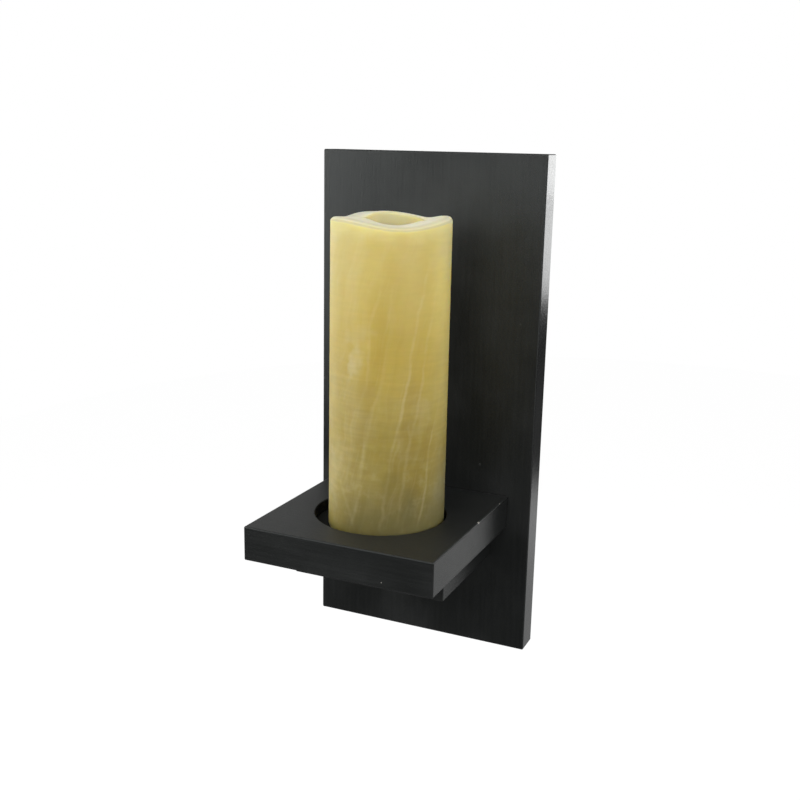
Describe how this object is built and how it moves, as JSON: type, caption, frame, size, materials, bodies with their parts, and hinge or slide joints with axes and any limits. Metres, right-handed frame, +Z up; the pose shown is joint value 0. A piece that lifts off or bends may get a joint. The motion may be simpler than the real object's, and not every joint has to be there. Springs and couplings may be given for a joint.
{
  "type": "wall sconce candle holder",
  "caption": "Black wall sconce: an upright back plate with a stacked square shelf whose round recess holds a hollow onyx pillar with a tealight.",
  "frame": {"origin": "on the back plate's wall side, on its upright centre line, level with the two wall screws that it hangs on", "axes": "+Z up; +Y into the wall; the shelf stands out along -Y; +X to the right of someone who faces the wall"},
  "size_m": [0.1644, 0.1551, 0.35],
  "materials": {
    "black_paint_board": "satin black sprayed paint on fibreboard",
    "honey_onyx": "polished, banded, slightly translucent",
    "black_felt": "pressed felt",
    "beech": "bare fluted dowel",
    "zinc_steel": "bright zinc plated",
    "zinc_sheet": "zinc plated stamped sheet",
    "thin_aluminium": "bright drawn foil",
    "white_wax": "smooth paraffin wax",
    "cotton_wick": "braided and waxed"
  },
  "bodies": {
    "bracket": {"back_plate": "black_paint_board", "shelf_board": "black_paint_board", "support_board": "black_paint_board", "shelf_dowel_left": "beech", "shelf_dowel_right": "beech", "shelf_screw_left": "zinc_steel", "support_screw_left": "zinc_steel", "shelf_screw_right": "zinc_steel", "support_screw_right": "zinc_steel", "under_screw_1": "zinc_steel", "under_screw_2": "zinc_steel", "under_screw_3": "zinc_steel", "under_screw_4": "zinc_steel", "hanger_screw_1": "zinc_steel", "hanger_screw_2": "zinc_steel", "hanger_screw_3": "zinc_steel", "hanger_screw_4": "zinc_steel", "hanger_left": "zinc_sheet", "hanger_right": "zinc_sheet"},
    "pillar": {"stone_pillar": "honey_onyx", "pillar_felt": "black_felt"},
    "tealight": {"tealight_cup": "thin_aluminium", "tealight_wax": "white_wax", "wick": "cotton_wick", "wick_tab": "zinc_steel"}
  },
  "joints": [
    {"name": "pillar_lift", "type": "slide", "parent": "bracket", "child": "pillar", "axis": [0, 0, 1], "range_m": [0, 0.06]},
    {"name": "tealight_lift", "type": "slide", "parent": "pillar", "child": "tealight", "axis": [0, 0, 1], "range_m": [0, 0.05]}
  ]
}
